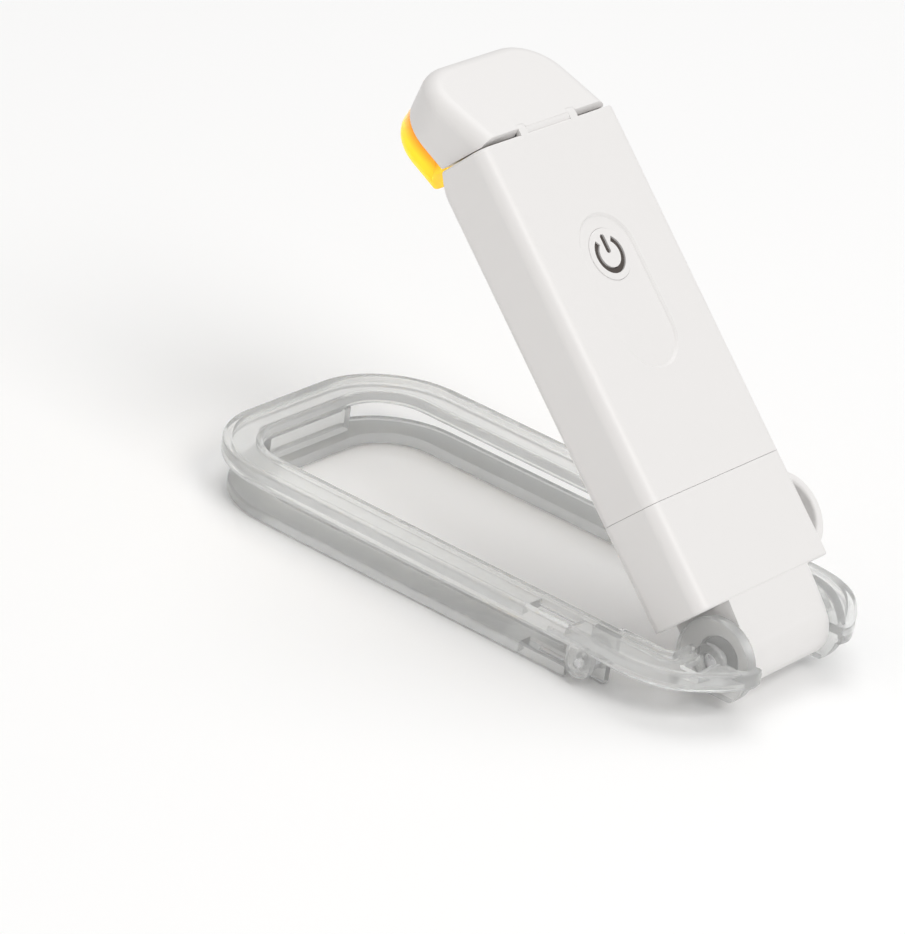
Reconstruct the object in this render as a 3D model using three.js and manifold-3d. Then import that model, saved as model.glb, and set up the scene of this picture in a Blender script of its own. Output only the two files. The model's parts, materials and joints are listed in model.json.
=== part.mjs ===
// Clip-on reading lamp: a white rechargeable lamp body with a tilting head and an amber
// lens, pivoting on a clear spring clip that grips the pages of a book.
//
// Units are millimetres. +X runs along the pivot barrel, +Y along the clip to its tip and
// +Z straight up from the clip. The lamp stands on the underside of its lower jaw.
//
// Three nested frames are used below. The clip frame has its origin on the barrel axis.
// The body frame turns about that axis: x to the right, y to the back, z up the body.
// The head frame turns about the head hinge in the same way.

import * as THREE from 'three';
import { mergeVertices } from 'three/addons/utils/BufferGeometryUtils.js';
import Module from 'manifold-3d';

const wasm = await Module();
wasm.setup();

// ---------------------------------------------------------------- driving dimensions

const GAP = 0.3;                 // clearance between neighbouring pieces
const BODY_ANGLE = 46;           // degrees between the clip and the lamp body
const HEAD_TILT = 28;            // degrees that the head leans towards the page

// Lamp body: one rounded section shared by the casing and the cap.
const BODY_WIDTH = 36;
const BODY_FRONT = -6.8;
const BODY_BACK = 5.9;
const BODY_EDGE = 2.5;
const WALL = 1.4;
const CAP_BOTTOM = 8.2;
const CAP_TOP = 26.8;
const CASING_BOTTOM = CAP_TOP + GAP;
const CASING_TOP = 90.8;
const TOP_CHAMFER = { depth: 3, height: 5.9 };   // along the casing's top back edge
const SPLIT_Y = 4.3;             // front shell ends here, rear cover starts a gap later

// Pivot barrel and its axle.
const BARREL_RADIUS = 6.0;
const BARREL_HALF = 11.0;
const AXLE_RADIUS = 1.5;
const WASHER_RADIUS = 3.7;
const WASHER_THICKNESS = 1.1;

// Lanyard loop on the right side of the cap.
const LOOP_CENTRE_Z = 16.6;
const LOOP_REACH = 7.0;
const LOOP_HALF_HEIGHT = 7.6;
const LOOP_THICKNESS = 1.7;
const LOOP_DEPTH = 6.0;

// Power button and the shallow pill-shaped recess that it sits in.
const BUTTON_Z = 67.4;
const BUTTON_RADIUS = 4.6;
const BUTTON_FACE = BODY_FRONT + 0.25;
const RECESS_DEPTH = 0.4;
const RECESS_RADIUS = 6.5;
const RECESS_BOTTOM = 47;
const RECESS_TOP = 74.4;
const SYMBOL_RADIUS = 2.9;
const SYMBOL_STROKE = 0.95;
const SYMBOL_BAR = 3.3;
const SYMBOL_BAR_RISE = 1.85;     // from the ring's centre to the middle of the bar

// USB plug.
const PLUG_WIDTH = 12;
const PLUG_HEIGHT = 4.5;
const PLUG_TIP = 15.0;
const PLUG_END = 32.3;
const PLUG_Y = 0.4;
const SPIGOT_DEPTH = 2.5;
const SPIGOT_INSET = 1.8;

// Circuit board and battery inside the casing.
const BOARD_FRONT = -0.6;
const BOARD_BACK = 0.4;
const BATTERY_FRONT = BOARD_BACK + 0.5;
const BATTERY_BACK = 4.2;

// Head and its hinge.
const HINGE_Y = BODY_FRONT + 1.6;
const HINGE_Z = CASING_TOP + 0.8;
const KNUCKLE_RADIUS = HINGE_Y - BODY_FRONT;
const KNUCKLE_HALF = 5.6;
const EAR_HALF = 7.5;
const HINGE_PIN_RADIUS = 0.6;
const HEAD_HALF = 16.5;
const HEAD_BOTTOM = -0.4;
const HEAD_TOP = 18.0;
const HEAD_CORNER = 9;
const HEAD_FOOT = 3.4;           // corner radius next to the hinge
const HEAD_BEVEL = HEAD_TILT + 1.5;   // slope of the head's underside, in degrees
const HEAD_BACK = 9.0;           // where the cover meets the lens, level with the hinge
const LIGHT_LEAN = 10;           // degrees that the lens leans, so that the head thins to its tip
const HEAD_ROUNDING = 2.8;
const LENS_DEPTH = 5.1;
const LENS_TOP = 16.7;
const LENS_FOOT = 4.4;           // lower end of the lens where it leaves the cover
const LENS_TOE = 2.2;            // lower end of its outer face, behind the casing
const LENS_WALL = 1.3;

// Clip.
const CLIP_HALF = 27;
const CLIP_TIP = 105;
const CLIP_CORNER = 17;
const CLIP_BOTTOM = -8.5;
const STRIP_WIDTH = 7.9;
const TIP_STRIP = 6.8;
const RIM_WIDTH = 1.8;
const RIM_HALF = 1.5;
const WEB_HALF = 0.8;
const WEB_START = 30;
const EAR_RADIUS = 7.4;
const EAR_BOTTOM = -5.6;         // the ears are cut flat below this height
const EAR_THICKNESS = 2.5;
const JAW_TOP = -5.9;
const JAW_BOTTOM = -7.9;
const JAW_HALF = 26;
const JAW_TIP = 103;
const SPRING_Y = 17;
const SPRING_Z = -3.8;
const SPRING_KNUCKLE = 2.6;
const SPRING_PIN_RADIUS = 0.75;
const WIRE_RADIUS = 0.3;
const COIL_RADIUS = 1.75;

// ---------------------------------------------------------------- materials

function plastic(color, roughness) {
  return new THREE.MeshStandardMaterial({ color, roughness, metalness: 0 });
}

function metal(color, roughness) {
  return new THREE.MeshStandardMaterial({ color, roughness, metalness: 1 });
}

const whitePlastic = () => plastic(0xeceae8, 0.25);
const clearPlastic = () => plastic(0xd9dcdc, 0.08);
const steel = () => metal(0xb8babd, 0.3);

// ---------------------------------------------------------------- solids

function toSolid(geometry) {
  const bare = geometry.clone();
  bare.deleteAttribute('normal');
  bare.deleteAttribute('uv');
  const merged = mergeVertices(bare, 1e-4);
  return new wasm.Manifold(new wasm.Mesh({
    numProp: 3,
    vertProperties: merged.attributes.position.array,
    triVerts: new Uint32Array(merged.index.array),
  }));
}

function toGeometry(solid) {
  const mesh = solid.getMesh();
  const geometry = new THREE.BufferGeometry();
  geometry.setAttribute('position', new THREE.BufferAttribute(mesh.vertProperties, 3));
  geometry.setIndex(new THREE.BufferAttribute(mesh.triVerts, 1));
  geometry.computeVertexNormals();
  return geometry;
}

const join = (first, ...others) => others.reduce((sum, other) => sum.add(other), first);
const cut = (first, ...others) => others.reduce((rest, other) => rest.subtract(other), first);

// Extrusion directions: each maps the drawing's (u, v, depth) to (x, y, z).
const ALONG = {
  x: new THREE.Matrix4().makeBasis(
    new THREE.Vector3(0, 1, 0), new THREE.Vector3(0, 0, 1), new THREE.Vector3(1, 0, 0)),
  y: new THREE.Matrix4().makeBasis(
    new THREE.Vector3(1, 0, 0), new THREE.Vector3(0, 0, 1), new THREE.Vector3(0, -1, 0)),
  z: new THREE.Matrix4(),
};

// A prism of a shape between two positions on one axis. Shapes are drawn in (y, z) for
// prisms along x, in (x, z) along y and in (x, y) along z. Bevels round both ends.
function prism(shape, axis, from, to, { bevel = 0, bevelSegments = 3, segments = 6 } = {}) {
  const geometry = new THREE.ExtrudeGeometry(shape, {
    depth: to - from - 2 * bevel,
    curveSegments: segments,
    bevelEnabled: bevel > 0,
    bevelThickness: bevel,
    bevelSize: bevel,
    bevelOffset: -bevel,
    bevelSegments,
  });
  const start = axis === 'y' ? -to : from;
  geometry.translate(0, 0, start + bevel);
  geometry.applyMatrix4(ALONG[axis]);
  return toSolid(geometry);
}

function box(x0, x1, y0, y1, z0, z1) {
  const geometry = new THREE.BoxGeometry(x1 - x0, y1 - y0, z1 - z0);
  geometry.translate((x0 + x1) / 2, (y0 + y1) / 2, (z0 + z1) / 2);
  return toSolid(geometry);
}

function mirrorX(solid) {
  return solid.mirror([1, 0, 0]);
}

// ---------------------------------------------------------------- shapes

function circle(radius, u = 0, v = 0) {
  return new THREE.Shape().absarc(u, v, radius, 0, 2 * Math.PI, false);
}

function roundedRect(width, height, radius, u = 0, v = 0) {
  const halfU = width / 2 - radius;
  const halfV = height / 2 - radius;
  const quarter = Math.PI / 2;
  const shape = new THREE.Shape();
  shape.absarc(u + halfU, v - halfV, radius, -quarter, 0, false);
  shape.absarc(u + halfU, v + halfV, radius, 0, quarter, false);
  shape.absarc(u - halfU, v + halfV, radius, quarter, 2 * quarter, false);
  shape.absarc(u - halfU, v - halfV, radius, 2 * quarter, 3 * quarter, false);
  shape.closePath();
  return shape;
}

function polygon(points) {
  return new THREE.Shape(points.map(([u, v]) => new THREE.Vector2(u, v)));
}

// The lamp body's section, shrunk evenly by an inset.
function bodySection(inset = 0) {
  const width = BODY_WIDTH - 2 * inset;
  const depth = BODY_BACK - BODY_FRONT - 2 * inset;
  const radius = Math.max(BODY_EDGE - inset, 0.6);
  return roundedRect(width, depth, radius, 0, (BODY_FRONT + BODY_BACK) / 2);
}

// The head's D-shaped outline, flat at the hinge and round at the top. It can be shrunk
// by an inset and run on below the hinge by a drop.
function headOutline(inset = 0, drop = 0, highest = HEAD_TOP) {
  const half = HEAD_HALF - inset;
  const bottom = HEAD_BOTTOM + inset - drop;
  const top = highest - inset;
  const corner = HEAD_CORNER - inset;
  const foot = Math.max(HEAD_FOOT - inset, 0.5);
  const shape = new THREE.Shape();
  shape.absarc(half - foot, bottom + foot, foot, -Math.PI / 2, 0, false);
  shape.absarc(half - corner, top - corner, corner, 0, Math.PI / 2, false);
  shape.absarc(corner - half, top - corner, corner, Math.PI / 2, Math.PI, false);
  shape.absarc(foot - half, bottom + foot, foot, Math.PI, 1.5 * Math.PI, false);
  shape.closePath();
  return shape;
}

// A round-ended tongue, open towards the barrel, as the outline of one jaw.
function jawOutline(half, start, tip, corner) {
  const shape = new THREE.Shape();
  shape.moveTo(-half, start);
  shape.lineTo(half, start);
  shape.absarc(half - corner, tip - corner, corner, 0, Math.PI / 2, false);
  shape.absarc(corner - half, tip - corner, corner, Math.PI / 2, Math.PI, false);
  shape.closePath();
  return shape;
}

function ring(outer, inner, u = 0, v = 0) {
  const shape = circle(outer, u, v);
  shape.holes.push(circle(inner, u, v));
  return shape;
}

// ---------------------------------------------------------------- cap and barrel

function makeCapShell() {
  const shell = prism(bodySection(), 'z', CAP_BOTTOM, CAP_TOP);
  const neck = polygon([
    [-BARREL_RADIUS, 0], [BARREL_RADIUS, 0], [BODY_BACK, CAP_BOTTOM + 2],
    [BODY_FRONT, CAP_BOTTOM + 2],
  ]);
  const barrel = join(
    prism(circle(BARREL_RADIUS), 'x', -BARREL_HALF, BARREL_HALF, { segments: 16 }),
    prism(neck, 'x', -BARREL_HALF, BARREL_HALF),
  );
  const bore = prism(circle(AXLE_RADIUS + GAP), 'x', -BARREL_HALF - 1, BARREL_HALF + 1);
  const washerSeat = prism(circle(WASHER_RADIUS + GAP), 'x',
    BARREL_HALF - WASHER_THICKNESS - GAP, BARREL_HALF + 1);
  const socket = prism(
    roundedRect(PLUG_WIDTH + 2 * GAP, PLUG_HEIGHT + 2 * GAP, 0.6, 0, PLUG_Y), 'z',
    PLUG_TIP - 0.6, CAP_TOP + 1);
  const spigotSeat = prism(bodySection(SPIGOT_INSET - GAP), 'z',
    CAP_TOP - SPIGOT_DEPTH - GAP, CAP_TOP + 1);
  const earRoom = prism(circle(EAR_RADIUS + GAP), 'x', BARREL_HALF, BODY_WIDTH, { segments: 16 });
  const body = cut(join(shell, makeLanyardLoop()), earRoom, mirrorX(earRoom));
  return cut(join(body, barrel), bore, washerSeat, mirrorX(washerSeat), socket, spigotSeat);
}

// Half an elliptical band standing out from the cap's right side.
function makeLanyardLoop() {
  const root = BODY_WIDTH / 2 - 0.6;
  const halfEllipse = (shrink) => {
    const shape = new THREE.Shape();
    const reach = LOOP_REACH + 0.6 - shrink;
    shape.absellipse(root, LOOP_CENTRE_Z, reach, LOOP_HALF_HEIGHT - shrink,
      -Math.PI / 2, Math.PI / 2, false, 0);
    shape.closePath();
    return shape;
  };
  const depth = LOOP_DEPTH / 2;
  const outer = prism(halfEllipse(0), 'y', -depth, depth, { segments: 14 });
  const inner = prism(halfEllipse(LOOP_THICKNESS), 'y', -depth - 1, depth + 1, { segments: 14 });
  const insideBody = box(0, BODY_WIDTH / 2, -depth - 1, depth + 1, 0, CAP_TOP);
  return cut(outer, cut(inner, insideBody));
}

function makeAxle() {
  const end = BARREL_HALF + GAP + EAR_THICKNESS;
  return prism(circle(AXLE_RADIUS), 'x', -end, end);
}

function makeWasher() {
  return prism(ring(WASHER_RADIUS, AXLE_RADIUS + GAP), 'x',
    BARREL_HALF - WASHER_THICKNESS, BARREL_HALF);
}

// ---------------------------------------------------------------- casing

// The casing's closed outside, cut away along its top back edge behind the head.
function casingBlank() {
  const { depth, height } = TOP_CHAMFER;
  const edge = polygon([[BODY_BACK - 2 * depth, CASING_TOP + height],
    [BODY_BACK + depth, CASING_TOP - 2 * height], [BODY_BACK + 2 * depth, CASING_TOP + height]]);
  return cut(prism(bodySection(), 'z', CASING_BOTTOM, CASING_TOP),
    prism(edge, 'x', -BODY_WIDTH, BODY_WIDTH));
}

function makeFrontShell() {
  const outer = casingBlank();
  const behindSplit = box(-BODY_WIDTH, BODY_WIDTH, SPLIT_Y, BODY_BACK + 1, 0, CASING_TOP + 1);
  const cavityHalf = BODY_WIDTH / 2 - WALL;
  const cavity = box(-cavityHalf, cavityHalf, BODY_FRONT + WALL, BODY_BACK + 1,
    CASING_BOTTOM + WALL, CASING_TOP - TOP_CHAMFER.height + 0.6);
  const spigot = prism(bodySection(SPIGOT_INSET), 'z',
    CASING_BOTTOM - SPIGOT_DEPTH, CASING_BOTTOM + 0.5);
  const plugHole = prism(
    roundedRect(PLUG_WIDTH + 2 * GAP, PLUG_HEIGHT + 2 * GAP, 0.6, 0, PLUG_Y), 'z',
    CASING_BOTTOM - SPIGOT_DEPTH - 1, CASING_BOTTOM + WALL + 1);
  const recessHeight = RECESS_TOP - RECESS_BOTTOM;
  const recess = prism(
    roundedRect(2 * RECESS_RADIUS, recessHeight, RECESS_RADIUS - 0.01, 0,
      RECESS_BOTTOM + recessHeight / 2),
    'y', BODY_FRONT - 1, BODY_FRONT + RECESS_DEPTH, { segments: 10 });
  const buttonHole = prism(circle(BUTTON_RADIUS + GAP, 0, BUTTON_Z), 'y',
    BODY_FRONT - 1, BODY_FRONT + WALL + 1, { segments: 10 });
  const base = cut(join(outer, spigot), behindSplit, cavity, plugHole, recess, buttonHole);
  return cut(join(base, makeHingeEar(), mirrorX(makeHingeEar())), makeKnuckleSeat());
}

// One of the two ears that hold the head's hinge pin.
function makeHingeEar() {
  const inner = KNUCKLE_HALF + GAP;
  const barrel = prism(circle(KNUCKLE_RADIUS, HINGE_Y, HINGE_Z), 'x', inner, EAR_HALF);
  const foot = box(inner, EAR_HALF, BODY_FRONT, HINGE_Y, CASING_TOP - 3, HINGE_Z);
  const pinHole = prism(circle(HINGE_PIN_RADIUS + 0.2, HINGE_Y, HINGE_Z), 'x', inner - 1, EAR_HALF + 1);
  return cut(join(barrel, foot), pinHole);
}

// The hollow in the casing's top edge that the head's knuckle turns in.
function makeKnuckleSeat() {
  const half = KNUCKLE_HALF + GAP;
  return prism(circle(KNUCKLE_RADIUS + GAP, HINGE_Y, HINGE_Z), 'x', -half, half);
}

function makeRearCover() {
  const outer = casingBlank();
  return cut(outer, box(-BODY_WIDTH, BODY_WIDTH, BODY_FRONT - 1, SPLIT_Y + GAP, 0, CASING_TOP + 1));
}

// ---------------------------------------------------------------- power button

// The open ring and the upright bar of a power symbol, widened by a margin.
function makeSymbolStrokes(from, to, margin) {
  const half = SYMBOL_STROKE / 2 + margin;
  const opening = 0.62;
  const arc = new THREE.Shape();
  const start = Math.PI / 2 + opening;
  const end = Math.PI / 2 - opening + 2 * Math.PI;
  arc.absarc(0, BUTTON_Z, SYMBOL_RADIUS + half, start, end, false);
  arc.absarc(0, BUTTON_Z, SYMBOL_RADIUS - half, end, start, true);
  arc.closePath();
  const bar = roundedRect(2 * half, SYMBOL_BAR + 2 * margin, half - 0.01, 0,
    BUTTON_Z + SYMBOL_BAR_RISE);
  return [arc, bar].map((shape) => prism(shape, 'y', from, to, { segments: 14 }));
}

function makePowerButton() {
  const flangeFront = BODY_FRONT + WALL + GAP;
  const flangeBack = flangeFront + 0.65;
  const cap = prism(circle(BUTTON_RADIUS, 0, BUTTON_Z), 'y', BUTTON_FACE, flangeBack, { segments: 12 });
  const flange = prism(circle(BUTTON_RADIUS + 0.9, 0, BUTTON_Z), 'y', flangeFront, flangeBack,
    { segments: 12 });
  const pocket = prism(circle(SYMBOL_RADIUS + 1.2, 0, BUTTON_Z), 'y', BUTTON_FACE + 0.6,
    flangeBack + 1, { segments: 10 });
  return cut(join(cap, flange), pocket, ...makeSymbolStrokes(BUTTON_FACE - 1, flangeBack, 0.15));
}

// Dark insert behind the button: a disc with the symbol standing up through the button's
// face, and a stem that presses the switch.
function makePowerSymbol() {
  const discFront = BUTTON_FACE + 0.75;
  const disc = prism(circle(SYMBOL_RADIUS + 0.9, 0, BUTTON_Z), 'y', discFront, discFront + 0.8,
    { segments: 10 });
  const stem = prism(circle(1.1, 0, BUTTON_Z), 'y', discFront + 0.5, SWITCH_TIP - 0.55);
  return join(disc, stem, ...makeSymbolStrokes(BUTTON_FACE + 0.1, discFront + 0.4, 0));
}

// ---------------------------------------------------------------- electronics

const SWITCH_TIP = -2.25;
const SWITCH_BACK = BOARD_FRONT - GAP;

function makeCircuitBoard() {
  const notch = PLUG_WIDTH / 2 + GAP;
  const top = 81;
  const bottom = CASING_BOTTOM + WALL + 0.4;
  const outline = polygon([
    [-12, bottom], [-notch, bottom], [-notch, PLUG_END + GAP], [notch, PLUG_END + GAP],
    [notch, bottom], [12, bottom], [12, top], [-12, top],
  ]);
  return prism(outline, 'y', BOARD_FRONT, BOARD_BACK);
}

function makeTactileSwitch() {
  const half = 2.25;
  const body = box(-half, half, SWITCH_TIP + 0.3, SWITCH_BACK, BUTTON_Z - half, BUTTON_Z + half);
  return join(body, prism(circle(1.1, 0, BUTTON_Z), 'y', SWITCH_TIP, SWITCH_BACK));
}

function makeChip(width, height, z) {
  const half = width / 2;
  return box(-half, half, SWITCH_BACK - 1.1, SWITCH_BACK, z - height / 2, z + height / 2);
}

function makeBattery() {
  return prism(roundedRect(26, BATTERY_BACK - BATTERY_FRONT, 1.2, 0,
    (BATTERY_FRONT + BATTERY_BACK) / 2), 'z', 33, 77, { segments: 4 });
}

// A thin lead from the battery's top edge, round to the front of the board.
function makeBatteryLead(x) {
  const route = new THREE.CatmullRomCurve3([
    new THREE.Vector3(x, 2.5, 77.3),
    new THREE.Vector3(x, 2.5, 80),
    new THREE.Vector3(x, 1.6, 82),
    new THREE.Vector3(x, -0.4, 82.2),
    new THREE.Vector3(x, -1.6, 81),
    new THREE.Vector3(x, -1.6, 78.5),
  ]);
  const geometry = new THREE.ExtrudeGeometry(circle(0.45), {
    steps: 14, curveSegments: 3, extrudePath: route,
  });
  return toSolid(geometry);
}

function makePlugShell() {
  const section = roundedRect(PLUG_WIDTH, PLUG_HEIGHT, 0.5, 0, PLUG_Y);
  const wall = 0.35;
  section.holes.push(roundedRect(PLUG_WIDTH - 2 * wall, PLUG_HEIGHT - 2 * wall, 0.2, 0, PLUG_Y));
  return prism(section, 'z', PLUG_TIP, PLUG_END, { segments: 3 });
}

const TONGUE_BACK = PLUG_Y + PLUG_HEIGHT / 2 - 0.35 - GAP;
const TONGUE_FRONT = TONGUE_BACK - 1.4;

function makePlugTongue() {
  return box(-5.3, 5.3, TONGUE_FRONT, TONGUE_BACK, PLUG_TIP + 0.5, PLUG_END);
}

function makePlugContact(x) {
  const front = TONGUE_FRONT - 0.5;
  return box(x - 0.5, x + 0.5, front, TONGUE_FRONT - 0.2, PLUG_TIP + 1.5, PLUG_END - 1);
}

// ---------------------------------------------------------------- head (in the head frame)

// Everything below the head's sloping underside, raised by an offset.
function belowHead(offset = 0) {
  const rise = Math.tan(THREE.MathUtils.degToRad(HEAD_BEVEL));
  const low = HEAD_BOTTOM + offset;
  const slope = polygon([[-5, -9], [20, -9], [20, low + rise * 20], [0.1, low], [-5, low]]);
  return prism(slope, 'x', -HEAD_HALF - 1, HEAD_HALF + 1);
}

// Everything behind the joint between the head's cover and its lens.
function behindCover() {
  const lean = Math.tan(THREE.MathUtils.degToRad(LIGHT_LEAN));
  const joint = (z) => HEAD_BACK - lean * z;
  const rest = polygon([[joint(-9), -9], [30, -9], [30, 25], [joint(25), 25]]);
  return prism(rest, 'x', -HEAD_HALF - 1, HEAD_HALF + 1);
}

function makeHeadCover() {
  const front = -KNUCKLE_RADIUS;
  const blank = prism(headOutline(0, HEAD_ROUNDING), 'y', front, HEAD_BACK + 2 * HEAD_ROUNDING,
    { bevel: HEAD_ROUNDING, segments: 10 });
  const outer = cut(blank, behindCover(), belowHead());
  const knuckle = join(
    prism(circle(KNUCKLE_RADIUS), 'x', -KNUCKLE_HALF, KNUCKLE_HALF),
    box(-KNUCKLE_HALF, KNUCKLE_HALF, front, 0, 0, 2 * HEAD_ROUNDING),
  );
  const earSeat = prism(circle(KNUCKLE_RADIUS + GAP), 'x', KNUCKLE_HALF, EAR_HALF + GAP);
  const hingeRoot = box(-HEAD_HALF, HEAD_HALF, -5, 1.9, -5, 3.8);
  const cavity = cut(prism(headOutline(WALL), 'y', 0.2, HEAD_BACK + 1, { segments: 10 }),
    hingeRoot, belowHead(1.3 * WALL));
  const pinHole = prism(circle(HINGE_PIN_RADIUS + 0.2), 'x', -KNUCKLE_HALF - 1, KNUCKLE_HALF + 1);
  return cut(join(outer, knuckle), earSeat, mirrorX(earSeat), cavity, pinHole);
}

function makeHingePin() {
  return prism(circle(HINGE_PIN_RADIUS), 'x', -EAR_HALF + 0.2, EAR_HALF - 0.2);
}

// ---------------------------------------------------------------- light unit

// The lens and everything behind it lean together, so they share one more frame.

const LENS_BACK = HEAD_BACK * Math.cos(THREE.MathUtils.degToRad(LIGHT_LEAN)) + GAP;
const lensOutline = (inset) => headOutline(inset, 0, LENS_TOP);

function makeLens() {
  const bevel = 1.6;
  const blank = prism(lensOutline(0.5), 'y', LENS_BACK - 2 * bevel, LENS_BACK + LENS_DEPTH,
    { bevel, segments: 10 });
  const slope = (LENS_FOOT - LENS_TOE) / LENS_DEPTH;
  const footEdge = polygon([[-10, -5], [20, -5], [20, LENS_FOOT - slope * (20 - LENS_BACK)],
    [LENS_BACK, LENS_FOOT], [-10, LENS_FOOT]]);
  const below = prism(footEdge, 'x', -HEAD_HALF - 1, HEAD_HALF + 1);
  const dome = cut(blank, box(-20, 20, -10, LENS_BACK, -5, 25), below);
  const skirtFoot = box(-20, 20, -10, 20, -5, LENS_FOOT + WALL);
  const skirt = cut(prism(lensOutline(WALL + GAP), 'y', LENS_BACK - 0.8, LENS_BACK + 0.5,
    { segments: 10 }), skirtFoot);
  const cavity = cut(prism(lensOutline(WALL + GAP + LENS_WALL), 'y', LENS_BACK - 3,
    LENS_BACK + LENS_DEPTH - LENS_WALL, { segments: 10 }),
  box(-20, 20, -10, 20, -5, LENS_FOOT + WALL + LENS_WALL));
  return cut(join(dome, skirt), cavity);
}

const LED_COLUMNS = [-9, 0, 9];
const LED_ROWS = [8.3, 11.4];
const LED_SIZE = 2.4;
const LED_FRONT = LENS_BACK - 1.8;

function makeLedBoard() {
  return prism(roundedRect(24.6, 6.8, 1, 0, 9.9), 'y', LED_FRONT - 1.0, LED_FRONT - GAP,
    { segments: 3 });
}

function makeLed(x, z) {
  const half = LED_SIZE / 2;
  return box(x - half, x + half, LED_FRONT, LED_FRONT + 0.7, z - half, z + half);
}

function makeReflector() {
  const half = LED_SIZE / 2 + 0.25;
  const outline = prism(lensOutline(WALL + GAP + LENS_WALL + GAP), 'y',
    LED_FRONT + 1.0, LED_FRONT + 1.5, { segments: 5 });
  const plate = cut(outline, box(-20, 20, 0, 20, -5, LENS_FOOT + WALL + LENS_WALL + GAP));
  const holes = LED_COLUMNS.flatMap((x) => LED_ROWS.map(
    (z) => box(x - half, x + half, LED_FRONT, LED_FRONT + 3, z - half, z + half)));
  return cut(plate, ...holes);
}

// ---------------------------------------------------------------- clip (in the clip frame)

// Outer edge of the yoke's right half, from the jaw down and round to the pivot ear.
const YOKE_EDGE = [[27, 14], [27.3, 8.6], [26.4, 2.6], [24, -1.7], [19.5, -5.4], [14.8, -7.9]];

function yokeOutline(inset) {
  const shape = new THREE.Shape();
  const inner = CLIP_HALF - STRIP_WIDTH;
  const edge = YOKE_EDGE.map(([x, y]) => new THREE.Vector2(x - inset, y + inset * 0.7));
  shape.moveTo(BARREL_HALF + GAP, CLIP_BOTTOM + inset);
  shape.lineTo(BARREL_HALF + GAP, 4.6);
  shape.lineTo(BODY_WIDTH / 2 + 0.6, 4.6);
  shape.lineTo(inner, 6.4);
  shape.lineTo(inner, 22);
  shape.lineTo(CLIP_HALF - inset, 22);
  shape.lineTo(edge[0].x, edge[0].y);
  shape.splineThru([...edge.slice(1), new THREE.Vector2(BARREL_HALF + GAP, CLIP_BOTTOM + inset)]);
  return shape;
}

function makeClipFrame() {
  const jaw = prism(jawOutline(CLIP_HALF, 20, CLIP_TIP, CLIP_CORNER), 'z', -RIM_HALF, RIM_HALF,
    { segments: 12 });
  const inner = prism(
    jawOutline(CLIP_HALF - STRIP_WIDTH, 10, CLIP_TIP - TIP_STRIP, CLIP_CORNER - STRIP_WIDTH),
    'z', -5, 5, { segments: 10 });
  const trough = jawOutline(CLIP_HALF - RIM_WIDTH, 10, CLIP_TIP - RIM_WIDTH,
    CLIP_CORNER - RIM_WIDTH);
  const upperTrough = prism(trough, 'z', WEB_HALF, 5, { segments: 10 });
  const lowerTrough = prism(trough, 'z', -5, -WEB_HALF, { segments: 10 });
  const loop = cut(jaw, inner, upperTrough, lowerTrough);

  const yoke = makeYokeSide();
  const frame = join(loop, yoke, mirrorX(yoke));
  const window = box(CLIP_HALF - STRIP_WIDTH + RIM_WIDTH, CLIP_HALF - RIM_WIDTH,
    SPRING_Y + SPRING_KNUCKLE + 1.5, WEB_START, -5, 5);
  return cut(frame, window, mirrorX(window));
}

// One side of the yoke: a rimmed web, the pivot ear and the spring knuckles.
function makeYokeSide() {
  const plate = prism(yokeOutline(0), 'z', -RIM_HALF, RIM_HALF, { segments: 3 });
  const web = yokeOutline(RIM_WIDTH);
  const sunkenTop = prism(web, 'z', WEB_HALF, 5, { segments: 3 });
  const sunkenBottom = prism(web, 'z', -5, -WEB_HALF, { segments: 3 });
  const knuckleRoom = box(0, CLIP_HALF - STRIP_WIDTH, 5, 30, -10, 10);
  const earInner = BARREL_HALF + GAP;
  const disc = prism(circle(EAR_RADIUS), 'x', earInner, earInner + EAR_THICKNESS, { segments: 16 });
  const ear = cut(disc, box(0, CLIP_HALF, -EAR_RADIUS - 1, EAR_RADIUS + 1, -10, EAR_BOTTOM));
  const boss = prism(circle(3.2), 'x', earInner, earInner + EAR_THICKNESS + 1);
  const axleHole = prism(circle(AXLE_RADIUS + GAP), 'x', earInner - 1, earInner + EAR_THICKNESS + 2);
  const coilRoom = box(SPRING_LAYOUT.jaw[0] - GAP, SPRING_LAYOUT.outer[0],
    SPRING_Y - SPRING_KNUCKLE - 0.6, SPRING_Y + SPRING_KNUCKLE + 2, -10, -WEB_HALF);
  const arms = cut(plate, sunkenTop, sunkenBottom, knuckleRoom, coilRoom);
  const knuckles = [SPRING_LAYOUT.inner, SPRING_LAYOUT.outer].map(
    ([from, to]) => makeSpringKnuckle(from, to, SPRING_Z, 0));
  return cut(join(arms, ear, boss, ...knuckles), axleHole);
}

// Positions along x of the pieces on each spring pin.
const SPRING_LAYOUT = {
  inner: [19.1, 20.5],
  jaw: [20.8, 22.2],
  coil: [22.9, 24.7],
  outer: [25.5, 27.0],
};

// A round knuckle on the spring axis, with a web reaching to a given height.
function makeSpringKnuckle(from, to, low, high) {
  const barrel = prism(circle(SPRING_KNUCKLE, SPRING_Y, SPRING_Z), 'x', from, to);
  const web = box(from, to, SPRING_Y - SPRING_KNUCKLE, SPRING_Y + SPRING_KNUCKLE, low, high);
  const hole = prism(circle(SPRING_PIN_RADIUS + 0.2, SPRING_Y, SPRING_Z), 'x', from - 1, to + 1);
  return cut(join(barrel, web), hole);
}

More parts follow.
